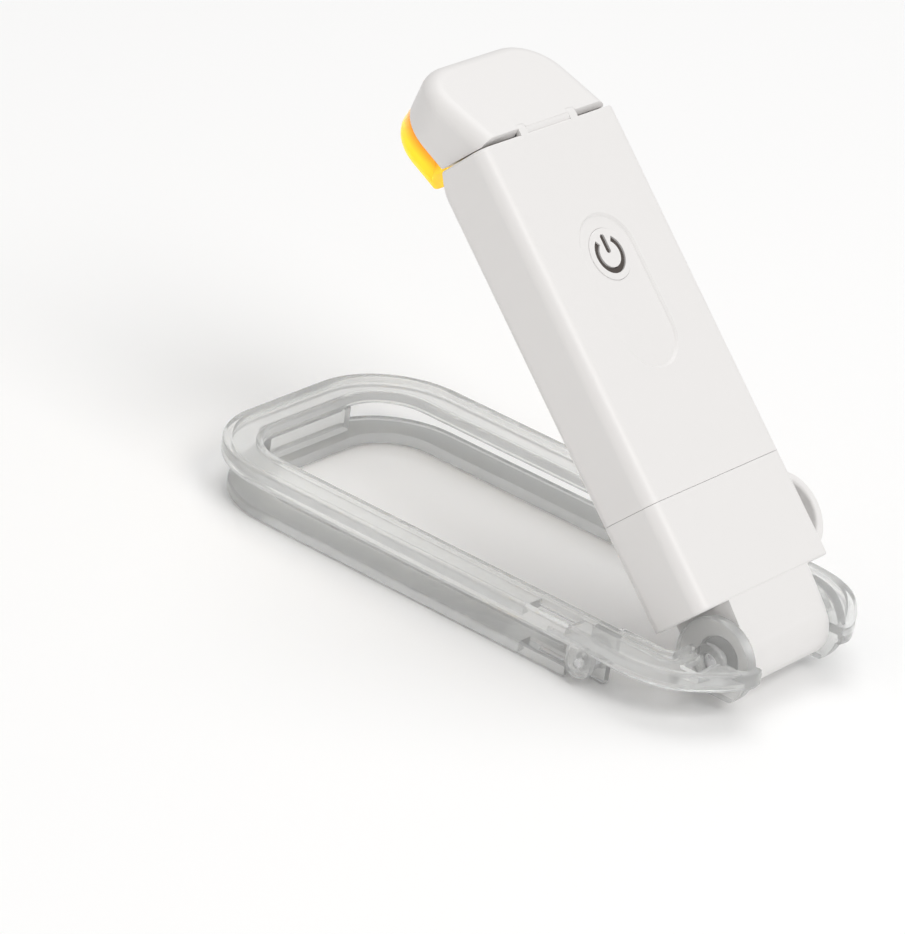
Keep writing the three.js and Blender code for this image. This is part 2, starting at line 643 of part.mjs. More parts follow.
function makeLowerJaw() {
  const start = SPRING_Y + SPRING_KNUCKLE + GAP;
  const innerHalf = CLIP_HALF - STRIP_WIDTH;
  const corner = CLIP_CORNER - 1;
  const blank = prism(jawOutline(JAW_HALF, start, JAW_TIP, corner), 'z', JAW_BOTTOM, JAW_TOP,
    { segments: 12 });
  const inner = prism(jawOutline(innerHalf, 10, JAW_TIP - TIP_STRIP, corner - 6), 'z', -10, 0,
    { segments: 10 });
  const lip = box(-11, 11, JAW_TIP - 4.6, JAW_TIP - 1.6, JAW_BOTTOM + 0.5, -WEB_HALF - GAP);
  const knuckle = join(
    makeSpringKnuckle(...SPRING_LAYOUT.jaw, JAW_BOTTOM, SPRING_Z),
    box(...SPRING_LAYOUT.jaw, SPRING_Y, start + 1, JAW_BOTTOM, JAW_TOP),
  );
  const pinHole = prism(circle(SPRING_PIN_RADIUS + 0.2, SPRING_Y, SPRING_Z), 'x',
    SPRING_LAYOUT.jaw[0] - 1, SPRING_LAYOUT.jaw[1] + 1);
  const side = cut(knuckle, pinHole);
  const legNotch = box(SPRING_LAYOUT.coil[0] - 0.5, SPRING_LAYOUT.coil[1] + 0.5, start - 1, 30,
    JAW_BOTTOM - 1, JAW_TOP + 1);
  return cut(join(cut(blank, inner), lip, side, mirrorX(side)), legNotch, mirrorX(legNotch));
}

function makeJawPin() {
  return prism(circle(SPRING_PIN_RADIUS, SPRING_Y, SPRING_Z), 'x',
    SPRING_LAYOUT.inner[0], SPRING_LAYOUT.outer[1] - 0.2);
}

// Torsion spring: three turns round the pin, with one leg on each jaw.
function makeTorsionSpring() {
  const [from, to] = SPRING_LAYOUT.coil;
  const turns = 3;
  const perTurn = 12;
  const points = [new THREE.Vector3(from, SPRING_Y + 9, SPRING_Z + COIL_RADIUS)];
  points.push(new THREE.Vector3(from, SPRING_Y + 5, SPRING_Z + COIL_RADIUS));
  for (let step = 0; step <= turns * perTurn + perTurn / 2; step += 1) {
    const angle = Math.PI / 2 + (2 * Math.PI * step) / perTurn;
    const x = from + ((to - from) * step) / (turns * perTurn + perTurn / 2);
    points.push(new THREE.Vector3(x,
      SPRING_Y + COIL_RADIUS * Math.cos(angle), SPRING_Z + COIL_RADIUS * Math.sin(angle)));
  }
  points.push(new THREE.Vector3(to, SPRING_Y + 5, SPRING_Z - COIL_RADIUS));
  points.push(new THREE.Vector3(to, SPRING_Y + 9, SPRING_Z - COIL_RADIUS));
  const geometry = new THREE.ExtrudeGeometry(circle(WIRE_RADIUS), {
    steps: 60, curveSegments: 3, extrudePath: new THREE.CatmullRomCurve3(points),
  });
  return toSolid(geometry);
}

// ---------------------------------------------------------------- assembly

function addTo(group, name, solid, material) {
  const mesh = new THREE.Mesh(toGeometry(solid), material);
  mesh.name = name;
  group.add(mesh);
  return mesh;
}

const lamp = new THREE.Group();

const clip = new THREE.Group();
clip.position.set(0, -(CLIP_TIP + CLIP_BOTTOM) / 2, -JAW_BOTTOM);
lamp.add(clip);

const body = new THREE.Group();
body.rotation.x = THREE.MathUtils.degToRad(BODY_ANGLE - 90);
clip.add(body);

const head = new THREE.Group();
head.position.set(0, HINGE_Y, HINGE_Z);
head.rotation.x = THREE.MathUtils.degToRad(-HEAD_TILT);
body.add(head);

const lightUnit = new THREE.Group();
lightUnit.rotation.x = THREE.MathUtils.degToRad(LIGHT_LEAN);
head.add(lightUnit);

addTo(clip, 'clip_frame', makeClipFrame(), clearPlastic());
addTo(clip, 'lower_jaw', makeLowerJaw(), clearPlastic());
addTo(clip, 'barrel_axle', makeAxle(), steel());
const rightPin = makeJawPin();
const rightSpring = makeTorsionSpring();
addTo(clip, 'jaw_pin_right', rightPin, steel());
addTo(clip, 'jaw_pin_left', mirrorX(rightPin), steel());
addTo(clip, 'torsion_spring_right', rightSpring, steel());
addTo(clip, 'torsion_spring_left', mirrorX(rightSpring), steel());

addTo(body, 'cap_shell', makeCapShell(), whitePlastic());
addTo(body, 'friction_washer_right', makeWasher(), plastic(0x3a3a3c, 0.8));
addTo(body, 'friction_washer_left', mirrorX(makeWasher()), plastic(0x3a3a3c, 0.8));
addTo(body, 'front_shell', makeFrontShell(), whitePlastic());
addTo(body, 'rear_cover', makeRearCover(), whitePlastic());
addTo(body, 'power_button', makePowerButton(), whitePlastic());
addTo(body, 'power_symbol', makePowerSymbol(), plastic(0x4a4541, 0.5));
addTo(body, 'circuit_board', makeCircuitBoard(), plastic(0x1f6b3a, 0.5));
addTo(body, 'tactile_switch', makeTactileSwitch(), metal(0x9a9a9c, 0.4));
addTo(body, 'charging_chip', makeChip(5, 4, 40), plastic(0x202022, 0.6));
addTo(body, 'led_driver_chip', makeChip(3.4, 3.4, 54), plastic(0x202022, 0.6));
addTo(body, 'battery', makeBattery(), metal(0xb9bcc4, 0.45));
addTo(body, 'battery_lead_red', makeBatteryLead(-4), plastic(0xb3201c, 0.5));
addTo(body, 'battery_lead_black', makeBatteryLead(4), plastic(0x1c1c1e, 0.5));
addTo(body, 'usb_plug_shell', makePlugShell(), metal(0xc9cbce, 0.25));
addTo(body, 'usb_plug_tongue', makePlugTongue(), plastic(0xf2f2f0, 0.5));
[-3.5, -1.2, 1.2, 3.5].forEach((x, index) => {
  addTo(body, `usb_contact_${index + 1}`, makePlugContact(x), metal(0xd9b45a, 0.3));
});

addTo(head, 'head_cover', makeHeadCover(), whitePlastic());
addTo(head, 'head_hinge_pin', makeHingePin(), steel());
addTo(lightUnit, 'lens', makeLens(), plastic(0xf6b21c, 0.1));
addTo(lightUnit, 'led_board', makeLedBoard(), plastic(0xf4f4f2, 0.5));
addTo(lightUnit, 'led_reflector', makeReflector(), plastic(0xfafaf8, 0.4));
LED_ROWS.forEach((z, row) => {
  LED_COLUMNS.forEach((x, column) => {
    const number = row * LED_COLUMNS.length + column + 1;
    addTo(lightUnit, `led_${number}`, makeLed(x, z), plastic(0xf5e27a, 0.3));
  });
});

export default lamp;
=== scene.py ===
import json
import math

import bmesh
import bpy
from mathutils import Matrix, Vector


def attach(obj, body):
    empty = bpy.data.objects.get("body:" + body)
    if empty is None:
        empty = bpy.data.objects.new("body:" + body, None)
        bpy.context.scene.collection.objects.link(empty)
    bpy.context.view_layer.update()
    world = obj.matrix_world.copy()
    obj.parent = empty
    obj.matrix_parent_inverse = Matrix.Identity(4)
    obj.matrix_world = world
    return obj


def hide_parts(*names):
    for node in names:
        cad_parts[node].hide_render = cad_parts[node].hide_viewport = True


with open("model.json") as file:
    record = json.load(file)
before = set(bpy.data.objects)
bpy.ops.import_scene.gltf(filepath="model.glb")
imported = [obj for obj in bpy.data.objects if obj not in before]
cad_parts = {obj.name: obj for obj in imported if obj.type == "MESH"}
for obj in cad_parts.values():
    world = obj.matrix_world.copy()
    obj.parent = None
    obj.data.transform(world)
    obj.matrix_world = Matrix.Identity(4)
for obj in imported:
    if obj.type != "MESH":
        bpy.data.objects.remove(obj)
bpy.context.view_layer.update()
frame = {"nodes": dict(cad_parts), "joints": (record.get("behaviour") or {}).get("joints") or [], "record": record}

# ---------------------------------------------------------------- frames

# Pieces are drawn in millimetres in one of four frames, then placed in metres: the clip
# frame on the barrel axis, the body frame (y to the back, z up the body), the head frame
# on the head's hinge and the light frame, which leans a little from the head's.

MM = 0.001
HEAD_TILT = math.radians(28)
LIGHT_LEAN = math.radians(10)

joints = {joint["name"]: joint for joint in frame["joints"]}
pivot = Vector(joints["body_pivot"]["pos_m"])
body_back = Vector(joints["button_press"]["axis"]).normalized()
body_up = Vector(joints["cap_pull"]["axis"]).normalized()
head_hinge = Vector(joints["head_tilt"]["pos_m"])


def placing(origin, y_axis, z_axis):
    """Matrix from a local frame in millimetres to the row frame in metres."""
    turn = Matrix((Vector((1, 0, 0)), y_axis, z_axis)).transposed().to_4x4()
    return Matrix.Translation(origin) @ turn @ Matrix.Scale(MM, 4)


def on_head_hinge(tilt):
    """The frame on the head's hinge that leans back by an angle from the body."""
    return placing(
        head_hinge,
        body_back * math.cos(tilt) - body_up * math.sin(tilt),
        body_back * math.sin(tilt) + body_up * math.cos(tilt),
    )


CLIP = placing(pivot, Vector((0, 1, 0)), Vector((0, 0, 1)))
BODY = placing(pivot, body_back, body_up)
HEAD = on_head_hinge(HEAD_TILT)
LIGHT = on_head_hinge(HEAD_TILT - LIGHT_LEAN)

# ---------------------------------------------------------------- dimensions, mm

GAP = 0.3
HAIRLINE = 0.05                  # joints are closed up until only a line this wide shows

BODY_WIDTH = 36.0
BODY_FRONT = -6.8
BODY_BACK = 5.9
BODY_EDGE = 2.5
WALL = 1.4
CAP_BOTTOM = 7.8
CAP_TOP = 26.8
CASING_BOTTOM = CAP_TOP + GAP
CASING_TOP = 90.8
TOP_CHAMFER = (3.0, 5.9)          # along the casing's top back edge: depth and height
SPLIT_Y = 4.3

BARREL_RADIUS = 6.0
BARREL_HALF = 11.0
AXLE_RADIUS = 1.5
WASHER_RADIUS = 3.7
WASHER_THICKNESS = 1.1

LOOP_CENTRE_Z = 16.6
LOOP_REACH = 7.0
LOOP_HALF_HEIGHT = 7.6
LOOP_THICKNESS = 1.7
LOOP_DEPTH = 6.0

BUTTON_Z = 67.4
BUTTON_RADIUS = 4.6
BUTTON_FACE = BODY_FRONT + 0.25
RECESS_DEPTH = 0.4
RECESS_RADIUS = 6.5
RECESS_BOTTOM = 47.0
RECESS_TOP = 74.4
SYMBOL_RADIUS = 2.9
SYMBOL_STROKE = 0.95
SYMBOL_OPENING = 0.62
SYMBOL_BAR = 3.3
SYMBOL_BAR_RISE = 1.85

PLUG_WIDTH = 12.0
PLUG_HEIGHT = 4.5
PLUG_TIP = 15.0
PLUG_Y = 0.4
SPIGOT_DEPTH = 2.5
SPIGOT_INSET = 1.8

HINGE_Y = BODY_FRONT + 1.6
HINGE_Z = CASING_TOP + 0.8
KNUCKLE_RADIUS = HINGE_Y - BODY_FRONT
KNUCKLE_HALF = 5.6
EAR_HALF = 7.5
HINGE_PIN_RADIUS = 0.6
HEAD_HALF = 16.5
HEAD_BOTTOM = -0.5
HEAD_TOP = 18.05
HEAD_CORNER = 9.0
HEAD_FOOT = 3.4
HEAD_BEVEL = HEAD_TILT + math.radians(1.5)
HEAD_BACK = 9.0
HEAD_ROUNDING = 3.0
LENS_BACK = HEAD_BACK * math.cos(LIGHT_LEAN) + GAP
LENS_DEPTH = 5.1
LENS_TOP = 16.9
LENS_WALL = 1.3
LENS_ROUNDING = 2.4
LENS_FOOT = 4.4
LENS_TOE = 2.2

CLIP_HALF = 27.0
CLIP_TIP = 105.0
CLIP_CORNER = 17.0
CLIP_BOTTOM = -8.5
STRIP_WIDTH = 7.9
TIP_STRIP = 6.8
RIM_WIDTH = 1.8
RIM_HALF = 1.5
WEB_HALF = 0.8
WEB_START = 30.0
PIVOT_EAR_RADIUS = 7.4
PIVOT_EAR_BOTTOM = -5.6
PIVOT_EAR_THICKNESS = 2.5
BOSS_RADIUS = 3.2
YOKE_EDGE = [(27, 20), (27, 14), (27.3, 8.6), (26.4, 2.6), (24, -1.7), (19.5, -5.4), (14.8, -7.9)]
JAW_TOP = -5.9
JAW_BOTTOM = -7.9
JAW_HALF = 26.0
JAW_TIP = 103.0
SPRING_Y = 17.0
SPRING_Z = -3.8
SPRING_KNUCKLE = 2.6
SPRING_PIN_RADIUS = 0.75
WIRE_RADIUS = 0.3
COIL_RADIUS = 1.75
INNER_KNUCKLE = (19.1, 20.5)
JAW_KNUCKLE = (20.8, 22.2)
COIL_SPAN = (22.9, 24.7)
OUTER_KNUCKLE = (25.5, 27.0)

# ---------------------------------------------------------------- outlines

ARC_STEPS = 10


def arc(centre, radius, start, end, steps=ARC_STEPS):
    """Points on an arc; angles are in quarter turns."""
    angles = [math.pi / 2 * (start + (end - start) * step / steps) for step in range(steps + 1)]
    return [(centre[0] + radius * math.cos(a), centre[1] + radius * math.sin(a)) for a in angles]


def circle(radius, u=0.0, v=0.0, steps=64):
    return arc((u, v), radius, 0, 4, steps)[:-1]


def rounded_rect(width, height, radius, u=0.0, v=0.0, steps=ARC_STEPS):
    half_u = width / 2 - radius
    half_v = height / 2 - radius
    corners = [(1, -1), (1, 1), (-1, 1), (-1, -1)]
    points = []
    for quarter, (side_u, side_v) in enumerate(corners):
        centre = (u + side_u * half_u, v + side_v * half_v)
        points += arc(centre, radius, quarter - 1, quarter, steps)
    return points


def body_outline(inset=0.0):
    """The lamp body's section, shrunk evenly by an inset."""
    width = BODY_WIDTH - 2 * inset
    depth = BODY_BACK - BODY_FRONT - 2 * inset
    radius = max(BODY_EDGE - inset, 0.3)
    return rounded_rect(width, depth, radius, 0, (BODY_FRONT + BODY_BACK) / 2)


def head_outline(inset=0.0, drop=0.0, highest=HEAD_TOP):
    """The head's D shape, run on below the hinge by a drop."""
    half = HEAD_HALF - inset
    bottom = HEAD_BOTTOM + inset - drop
    top = highest - inset
    corner = HEAD_CORNER - inset
    foot = max(HEAD_FOOT - inset, 0.2)
    steps = 2 * ARC_STEPS
    return (
        arc((half - foot, bottom + foot), foot, -1, 0, ARC_STEPS)
        + arc((half - corner, top - corner), corner, 0, 1, steps)
        + arc((corner - half, top - corner), corner, 1, 2, steps)
        + arc((foot - half, bottom + foot), foot, 2, 3, ARC_STEPS)
    )


def tongue_outline(half, start, tip, corner):
    """A jaw's outline: straight sides and a tip with two round corners."""
    steps = 2 * ARC_STEPS
    return (
        [(-half, start), (half, start)]
        + arc((half - corner, tip - corner), corner, 0, 1, steps)
        + arc((corner - half, tip - corner), corner, 1, 2, steps)
    )


def smooth_line(points, per_span=8):
    """A Catmull-Rom curve through points."""
    points = [Vector(point) for point in points]
    ends = [2 * points[0] - points[1], *points, 2 * points[-1] - points[-2]]
    line = []
    for before, start, end, after in zip(ends, ends[1:], ends[2:], ends[3:]):
        for step in range(per_span):
            t = step / per_span
            line.append(0.5 * (
                2 * start
                + (end - before) * t
                + (2 * before - 5 * start + 4 * end - after) * t ** 2
                + (3 * start - before - 3 * end + after) * t ** 3
            ))
    return [*line, points[-1]]


# ---------------------------------------------------------------- solids

PLACES = {
    "x": lambda u, v, depth: (depth, u, v),
    "y": lambda u, v, depth: (u, depth, v),
    "z": lambda u, v, depth: (u, v, depth),
}


def to_object(bm, name="solid"):
    bmesh.ops.recalc_face_normals(bm, faces=bm.faces)
    mesh = bpy.data.meshes.new(name)
    bm.to_mesh(mesh)
    bm.free()
    obj = bpy.data.objects.new(name, mesh)
    bpy.context.scene.collection.objects.link(obj)
    return obj


def skin(rings, closed=False):
    """A closed solid through rings of 3-D points; its ends are capped unless it is closed."""
    bm = bmesh.new()
    loops = [[bm.verts.new(point) for point in ring] for ring in rings]
    pairs = list(zip(loops, loops[1:]))
    if closed:
        pairs.append((loops[-1], loops[0]))
    for low, high in pairs:
        for k in range(len(low)):
            bm.faces.new((low[k - 1], low[k], high[k], high[k - 1]))
    if not closed:
        bm.faces.new(loops[0])
        bm.faces.new(loops[-1])
    return to_object(bm)


def prism(outline, axis, start, end, rounding=(0.0, 0.0), steps=5):
    """A prism between two depths. outline is a function of inset when an end is rounded."""
    shape = outline if callable(outline) else (lambda inset: outline)
    levels = []
    for edge, depth, inward in ((rounding[0], start, 1), (rounding[1], end, -1)):
        count = steps if edge else 0
        side = []
        for step in range(count + 1):
            angle = math.pi / 2 * (step / count if count else 1)
            side.append((edge * (1 - math.sin(angle)), depth + inward * edge * (1 - math.cos(angle))))
        levels += side if inward == 1 else side[::-1]
    place = PLACES[axis]
    return skin([[place(u, v, depth) for u, v in shape(inset)] for inset, depth in levels])


def disc(radius, axis, start, end, edge=0.0, u=0.0, v=0.0):
    """A round bar or disc with softened rims."""
    return prism(lambda inset: circle(radius - inset, u, v), axis, start, end, (edge, edge), 4)


def block(x, y, z):
    """A box between three pairs of limits."""
    return prism([(x[0], y[0]), (x[1], y[0]), (x[1], y[1]), (x[0], y[1])], "z", z[0], z[1])


def soft_block(x, y, z, edge):
    """A box with rounded edges, for small moulded pieces."""
    def outline(inset):
        width, depth = x[1] - x[0] - 2 * inset, y[1] - y[0] - 2 * inset
        return rounded_rect(width, depth, max(edge - inset, 0.02),
                            (x[0] + x[1]) / 2, (y[0] + y[1]) / 2, 4)
    return prism(outline, "z", z[0], z[1], (edge, edge), 3)


def bar(path, width, half_height, edge, closed=False):
    """A bar with a rounded rectangular section along a level path."""
    section = rounded_rect(width, 2 * half_height, edge, steps=3)
    path = [Vector(point) for point in path]
    rings = []
    for k, point in enumerate(path):
        before = path[k - 1] if closed or k else point
        after = path[(k + 1) % len(path)] if closed or k < len(path) - 1 else point
        along = (after - before).normalized()
        across = Vector((along.y, -along.x))
        rings.append([(*(point + across * u), v) for u, v in section])
    return skin(rings, closed)


def tube(path, radius, sides=12):
    """A round wire along a 3-D path, with a frame carried along it without twist."""
    path = [Vector(point) for point in path]
    normal = Vector((1, 0, 0))
    rings = []
    for k, point in enumerate(path):
        along = (path[min(k + 1, len(path) - 1)] - path[max(k - 1, 0)]).normalized()
        normal = (normal - along * normal.dot(along))
        if normal.length < 1e-3:
            normal = along.orthogonal()
        normal.normalize()
        other = along.cross(normal)
        angles = [2 * math.pi * side / sides for side in range(sides)]
        rings.append([point + radius * (normal * math.cos(a) + other * math.sin(a)) for a in angles])
    return skin(rings)


def mirrored(obj):
    """A copy of a solid on the other side of the lamp's centre plane."""
    bm = bmesh.new()
    bm.from_mesh(obj.data)
    bmesh.ops.scale(bm, vec=(-1, 1, 1), verts=bm.verts)
    return to_object(bm)


def bake_modifiers(obj):
    bpy.context.view_layer.update()
    graph = bpy.context.evaluated_depsgraph_get()
    mesh = bpy.data.meshes.new_from_object(obj.evaluated_get(graph))
    obj.modifiers.clear()
    obj.data = mesh
    return obj


def combine(base, operation, tools):
    """Joins tools to a base solid or cuts them from it."""
    for tool in tools:
        modifier = base.modifiers.new("combine", "BOOLEAN")
        modifier.operation = operation
        modifier.solver = "EXACT"
        modifier.object = tool
    bake_modifiers(base)
    for tool in tools:
        bpy.data.objects.remove(tool)
    return base


def join(base, *tools):
    return combine(base, "UNION", tools)


def cut(base, *tools):
    return combine(base, "DIFFERENCE", tools)


def keep(base, *tools):
    return combine(base, "INTERSECT", tools)


def both_sides(solid):
    return solid, mirrored(solid)


# ---------------------------------------------------------------- finished pieces


def finish_piece(obj, name, place, body, material, stands_for=(), bevel=0.0, sharp_angle=35):
    """Places a solid, softens its edges, and hangs it on its body with its material."""
    mesh = obj.data
    bm = bmesh.new()
    bm.from_mesh(mesh)
    bmesh.ops.remove_doubles(bm, verts=bm.verts, dist=1e-4)
    bmesh.ops.dissolve_degenerate(bm, edges=bm.edges, dist=1e-4)
    bm.to_mesh(mesh)
    bm.free()
    if bevel:
        modifier = obj.modifiers.new("edges", "BEVEL")
        modifier.width = bevel
        modifier.segments = 3
        modifier.limit_method = "ANGLE"
        modifier.angle_limit = math.radians(40)
        modifier.miter_outer = "MITER_ARC"
        bake_modifiers(obj)
    obj.data.transform(place)
    obj.data.shade_smooth()
    obj.data.set_sharp_from_angle(angle=math.radians(sharp_angle))
    weighted = obj.modifiers.new("flat faces stay flat", "WEIGHTED_NORMAL")
    weighted.keep_sharp = True
    obj.name = name
    obj.data.name = name
    obj.data.materials.clear()
    obj.data.materials.append(material)
    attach(obj, body)
    if stands_for:
        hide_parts(*stands_for)
    return obj


# ---------------------------------------------------------------- materials


def new_material(name, slot, color, roughness, **sockets):
    """A Principled material. Values that are the same all over sit on the shader itself."""
    material = bpy.data.materials.new(name)
    material.use_nodes = True
    material["slot"] = slot
    shader = material.node_tree.nodes["Principled BSDF"]
    shader.inputs["Base Color"].default_value = (*color, 1)
    shader.inputs["Roughness"].default_value = roughness
    for socket, value in sockets.items():
        shader.inputs[socket.replace("_", " ")].default_value = value
    return material


def add_noise(material, scale, detail=3.0):
    """A noise texture in the piece's own coordinates, with features 1/scale metres wide."""
    nodes, links = material.node_tree.nodes, material.node_tree.links
    coordinates = nodes.new("ShaderNodeTexCoord")
    noise = nodes.new("ShaderNodeTexNoise")
    noise.inputs["Scale"].default_value = scale
    noise.inputs["Detail"].default_value = detail
    links.new(coordinates.outputs["Object"], noise.inputs["Vector"])
    return noise


def vary_roughness(material, scale, low, high):
    """Polish that changes a little over the surface."""
    nodes, links = material.node_tree.nodes, material.node_tree.links
    noise = add_noise(material, scale)
    spread = nodes.new("ShaderNodeMapRange")
    spread.inputs["To Min"].default_value = low
    spread.inputs["To Max"].default_value = high
    links.new(noise.outputs["Fac"], spread.inputs["Value"])
    links.new(spread.outputs["Result"], nodes["Principled BSDF"].inputs["Roughness"])


def vary_color(material, scale, first, second):
    """A soft drift between two close colours."""
    nodes, links = material.node_tree.nodes, material.node_tree.links
    noise = add_noise(material, scale)
    ramp = nodes.new("ShaderNodeValToRGB")
    ramp.color_ramp.elements[0].color = (*first, 1)
    ramp.color_ramp.elements[1].color = (*second, 1)
    links.new(noise.outputs["Fac"], ramp.inputs["Fac"])
    links.new(ramp.outputs["Color"], nodes["Principled BSDF"].inputs["Base Color"])


def add_bump(material, scale, height, detail=3.0):
    """Fine relief; height is in metres."""
    nodes, links = material.node_tree.nodes, material.node_tree.links
    noise = add_noise(material, scale, detail)
    bump = nodes.new("ShaderNodeBump")
    bump.inputs["Strength"].default_value = 0.5
    bump.inputs["Distance"].default_value = height
    links.new(noise.outputs["Fac"], bump.inputs["Height"])
    links.new(bump.outputs["Normal"], nodes["Principled BSDF"].inputs["Normal"])


def white_gloss():
    material = new_material("white_gloss_plastic", "white_gloss", (0.80, 0.785, 0.775), 0.4,
                            Specular_IOR_Level=0.45)
    vary_color(material, 25, (0.798, 0.784, 0.776), (0.806, 0.792, 0.782))
    vary_roughness(material, 60, 0.38, 0.42)
    return material


def white_matte():
    material = new_material("white_matte_plastic", "white_matte", (0.82, 0.81, 0.78), 0.5)
    vary_roughness(material, 900, 0.45, 0.6)
    add_bump(material, 6000, 0.00001)
    return material


def clear_plastic():
    material = new_material("clear_plastic", "clear_plastic", (0.975, 0.98, 0.975), 0.12,
                            IOR=1.36, Transmission_Weight=0.75)
    vary_roughness(material, 300, 0.08, 0.16)
    add_bump(material, 500, 0.00001)
    return material


def amber_lens():
    """Clear amber with a painted glow: its emission paints light onto the lens, orange at its root in the cover,
    bright yellow at its face.
    """
    # Emission_Strength is painted light: the lens glows by itself in the ramp's colours.
    material = new_material("amber_lens", "amber_lens", (1.0, 0.60, 0.03), 0.08,
                            IOR=1.45, Transmission_Weight=0.55, Emission_Strength=0.2)
    nodes, links = material.node_tree.nodes, material.node_tree.links
    shader = nodes["Principled BSDF"]
    out_of_head = LIGHT.to_3x3() @ Vector((0, 1, 0))
    out_of_head.normalize()
    coordinates = nodes.new("ShaderNodeTexCoord")
    along = nodes.new("ShaderNodeVectorMath")
    along.operation = "DOT_PRODUCT"
    along.inputs[1].default_value = out_of_head
    links.new(coordinates.outputs["Object"], along.inputs[0])
    root = (LIGHT @ Vector((0, LENS_BACK, 0))).dot(out_of_head)
    depth = nodes.new("ShaderNodeMapRange")
    depth.inputs["From Min"].default_value = root
    depth.inputs["From Max"].default_value = root + LENS_DEPTH * MM
    links.new(along.outputs["Value"], depth.inputs["Value"])
    ramp = nodes.new("ShaderNodeValToRGB")
    ramp.color_ramp.elements[0].position = 0.05
    ramp.color_ramp.elements[0].color = (0.90, 0.34, 0.005, 1)
    ramp.color_ramp.elements[1].position = 0.4
    ramp.color_ramp.elements[1].color = (1.0, 0.79, 0.02, 1)
    links.new(depth.outputs["Result"], ramp.inputs["Fac"])
    links.new(ramp.outputs["Color"], shader.inputs["Base Color"])
    # The ramp also colours the painted glow.
    links.new(ramp.outputs["Color"], shader.inputs["Emission Color"])
    vary_roughness(material, 500, 0.05, 0.1)
    return material


def led_yellow():
    material = new_material("led_phosphor", "led_yellow", (1.0, 0.86, 0.35), 0.45,
                            Emission_Color=(1.0, 0.80, 0.35, 1), Emission_Strength=1.2)
    vary_color(material, 3000, (1.0, 0.84, 0.3), (1.0, 0.9, 0.45))
    return material


def steel():
    material = new_material("plated_steel", "steel", (0.62, 0.62, 0.63), 0.3, Metallic=1.0)
    vary_roughness(material, 1500, 0.2, 0.38)
    add_bump(material, 8000, 0.000006)
    return material


def satin(name, slot, color, roughness, grain=3000, **sockets):
    """A plain satin finish with a fine grain, for small inner parts."""
    material = new_material(name, slot, color, roughness, **sockets)
    vary_roughness(material, grain, roughness * 0.85, min(roughness * 1.2, 1.0))
    vary_color(material, grain / 4, tuple(c * 0.93 for c in color), tuple(min(c * 1.05, 1) for c in color))
    add_bump(material, grain * 2, 0.000012)
    return material


MATERIALS = {
    "white_gloss": white_gloss(),
    "white_matte": white_matte(),
    "clear_plastic": clear_plastic(),
    "amber_lens": amber_lens(),
    "led_yellow": led_yellow(),
    "steel": steel(),
    "symbol_grey": satin("symbol_grey", "symbol_grey", (0.075, 0.062, 0.055), 0.4),
    "rubber": satin("black_rubber", "rubber", (0.03, 0.03, 0.032), 0.8),
    "board_green": satin("solder_mask", "board_green", (0.02, 0.16, 0.05), 0.35, 1500),
    "chip_black": satin("chip_epoxy", "chip_black", (0.02, 0.02, 0.022), 0.6),
    "battery_foil": satin("battery_foil", "battery_foil", (0.55, 0.56, 0.59), 0.35, 900, Metallic=1.0),
    "contact_gold": satin("gold_plate", "contact_gold", (0.80, 0.58, 0.22), 0.25, Metallic=1.0),
    "lead_red": satin("red_insulation", "lead_red", (0.55, 0.02, 0.015), 0.45),
    "lead_black": satin("black_insulation", "lead_black", (0.02, 0.02, 0.02), 0.45),
}

# ---------------------------------------------------------------- cap and barrel


def make_cap():
    shell = prism(body_outline, "z", CAP_BOTTOM, CAP_TOP + (GAP - HAIRLINE) / 2, (0.45, 0.04))
    neck = [
        (-BARREL_RADIUS, 0), (BARREL_RADIUS, 0),
        (BODY_BACK, CAP_BOTTOM + 2), (BODY_FRONT, CAP_BOTTOM + 2),
    ]
    socket = prism(
        rounded_rect(PLUG_WIDTH + 2 * GAP, PLUG_HEIGHT + 2 * GAP, 0.6, 0, PLUG_Y), "z",
        PLUG_TIP - 0.6, CAP_TOP + 1)
    spigot_seat = prism(body_outline(SPIGOT_INSET - GAP), "z", CAP_TOP - SPIGOT_DEPTH - GAP, CAP_TOP + 1)
    bore = disc(AXLE_RADIUS + GAP, "x", -BARREL_HALF - 1, BARREL_HALF + 1)
    washer_seat = disc(WASHER_RADIUS + GAP, "x", BARREL_HALF - WASHER_THICKNESS - GAP, BARREL_HALF + 1)
    cap = join(
        shell,
        prism(neck, "x", -BARREL_HALF + 0.02, BARREL_HALF - 0.02),
        disc(BARREL_RADIUS, "x", -BARREL_HALF, BARREL_HALF, 0.35),
        make_lanyard_loop(),
    )
    return cut(cap, socket, spigot_seat, bore, *both_sides(washer_seat))


def make_lanyard_loop():
    """Half an elliptical band with soft edges, standing out from the cap's right side."""
    root = BODY_WIDTH / 2 - 0.6
    reach = LOOP_REACH + 0.6 - LOOP_THICKNESS / 2
    height = LOOP_HALF_HEIGHT - LOOP_THICKNESS / 2
    section = rounded_rect(LOOP_THICKNESS, LOOP_DEPTH, 0.6, steps=4)
    steps = 40
    rings = []
    for step in range(steps + 1):
        angle = math.pi * (step / steps - 0.5)
        middle = Vector((root + reach * math.cos(angle), LOOP_CENTRE_Z + height * math.sin(angle)))
        outward = Vector((math.cos(angle) / reach, math.sin(angle) / height)).normalized()
        rings.append([
            (middle.x + outward.x * u, v, middle.y + outward.y * u) for u, v in section
        ])
    return skin(rings)


# ---------------------------------------------------------------- casing


def casing_blank():
    """The closed outside of the casing, with its top back edge cut away behind the head."""
    blank = prism(body_outline, "z", CASING_BOTTOM - (GAP - HAIRLINE) / 2, CASING_TOP, (0.04, 0.4))
    depth, height = TOP_CHAMFER
    chamfer = prism([
        (BODY_BACK - 2 * depth, CASING_TOP + height), (BODY_BACK + depth, CASING_TOP - 2 * height),
        (BODY_BACK + 2 * depth, CASING_TOP + height),
    ], "x", -BODY_WIDTH, BODY_WIDTH)
    return cut(blank, chamfer)


def behind_split(offset):
    return block((-BODY_WIDTH, BODY_WIDTH), (SPLIT_Y + offset, BODY_BACK + 5), (0, 2 * CASING_TOP))


